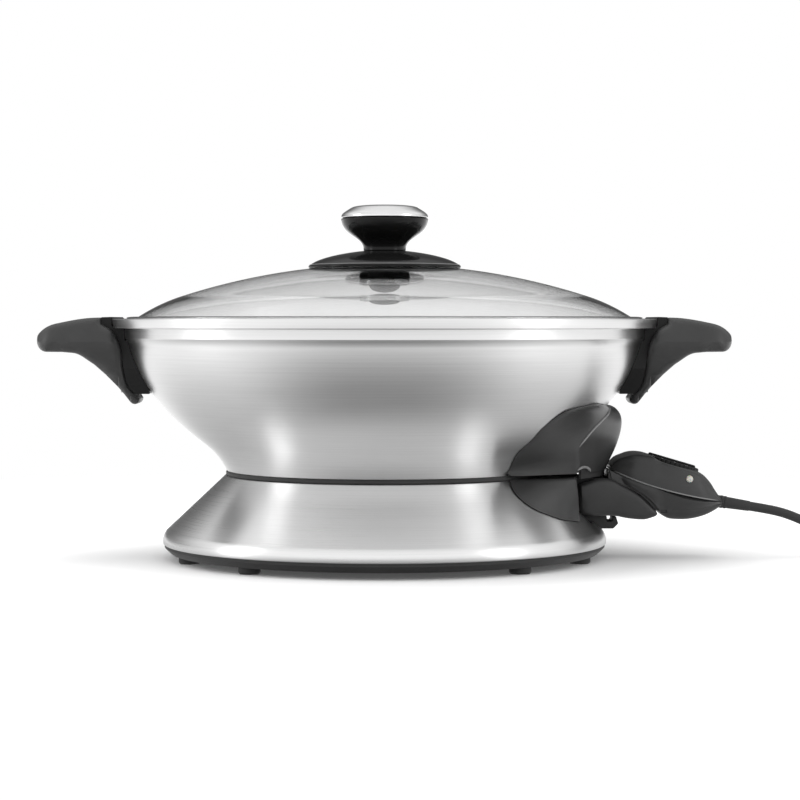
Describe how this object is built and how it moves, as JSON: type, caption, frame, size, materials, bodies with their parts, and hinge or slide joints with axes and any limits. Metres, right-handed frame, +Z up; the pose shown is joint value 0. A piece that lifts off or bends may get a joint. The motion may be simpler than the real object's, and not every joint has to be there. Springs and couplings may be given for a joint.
{
  "type": "electric wok",
  "caption": "Electric wok with a steel bowl that lifts off its base, a domed glass lid and a pull-out heat control with a dial and a cord.",
  "frame": {"origin": "on the floor plane under the feet, on the axis of the bowl and base", "axes": "+Z up, +X towards the heat control along the line through both handles, +Y away from the picture's camera"},
  "size_m": [0.687, 0.374, 0.2424],
  "materials": {
    "steel_base": "fine horizontal brushing",
    "black_pan": "moulded, lightly textured",
    "rubber": "matt, moulded",
    "aluminium": "pressed, plain",
    "bowl_steel": "satin, spun",
    "rim_steel": "satin",
    "fastener": "plated steel",
    "element": "dark heat-stained sheath",
    "contact": "plated",
    "brass": "bare",
    "grey_plastic": "fine satin texture",
    "dark_plastic": "matt",
    "ceramic": "matt ceramic with steel strips",
    "knob_gloss": "polished",
    "glass": "clear, toughened",
    "lens": "clear moulded",
    "lamp": "neon lamp",
    "blade": "plated"
  },
  "bodies": {
    "base": {"base_shell": "steel_base", "base_pan": "black_pan", "base_feet": "rubber", "base_shield": "aluminium", "base_screws": "fastener", "neck_seal": "rubber", "lower_housing": "grey_plastic", "lock_tab": "black_pan"},
    "bowl": {"wok_bowl": "bowl_steel", "bowl_foot": "bowl_steel", "clad_base": "aluminium", "heating_element": "element", "sensor_well": "aluminium", "socket_block": "dark_plastic", "terminal_pins": "contact", "socket_shroud": "dark_plastic", "socket_cowl": "grey_plastic", "cowl_bracket": "fastener", "cowl_screws": "fastener", "lever_pins": "fastener", "handle_left": "grey_plastic", "handle_right": "grey_plastic", "handle_pad_left": "dark_plastic", "handle_pad_right": "dark_plastic", "handle_lug_left": "fastener", "handle_lug_right": "fastener", "handle_screws_left": "fastener", "handle_screws_right": "fastener", "lever_spring": "fastener"},
    "lever": {"release_lever": "grey_plastic"},
    "lid": {"lid_glass": "glass", "lid_rim": "rim_steel", "knob_plate": "knob_gloss", "knob_gasket": "rubber", "knob_washer": "fastener", "knob_nut": "knob_gloss", "knob_bolt": "fastener", "knob_body": "knob_gloss", "knob_cap": "rim_steel"},
    "heat_control": {"probe_top": "grey_plastic", "probe_bottom": "grey_plastic", "sensor_rod": "contact", "probe_contacts": "brass", "thermostat": "ceramic", "indicator_lens": "lens", "indicator_lamp": "lamp", "probe_screws": "fastener", "strain_relief": "rubber", "cord_clamp": "dark_plastic", "cord_lead": "rubber", "cord_coil": "rubber", "cord_tail": "rubber", "coil_tie": "dark_plastic", "plug_body": "rubber", "plug_blades": "blade"},
    "dial": {"dial": "dark_plastic", "dial_shaft": "fastener"}
  },
  "joints": [
    {"name": "bowl_lift", "type": "slide", "parent": "base", "child": "bowl", "axis": [0, 0, 1], "range_m": [0, 0.12]},
    {"name": "lid_lift", "type": "slide", "parent": "bowl", "child": "lid", "axis": [0, 0, 1], "range_m": [0, 0.15]},
    {"name": "lever_press", "type": "hinge", "parent": "bowl", "child": "lever", "pos_m": [0.138, 0, 0.049], "axis": [0, 1, 0], "range_deg": [0, 6], "stiffness_Nm_per_rad": 0.3, "springref_deg": -5.73, "deforming": ["lever_spring"]},
    {"name": "heat_control_pull", "type": "slide", "parent": "bowl", "child": "heat_control", "axis": [1, 0, 0], "range_m": [0, 0.12]},
    {"name": "dial_turn", "type": "hinge", "parent": "heat_control", "child": "dial", "pos_m": [0.198, 0, 0.06648], "axis": [0.2824, 0, 0.9593], "range_deg": [0, 290]}
  ]
}
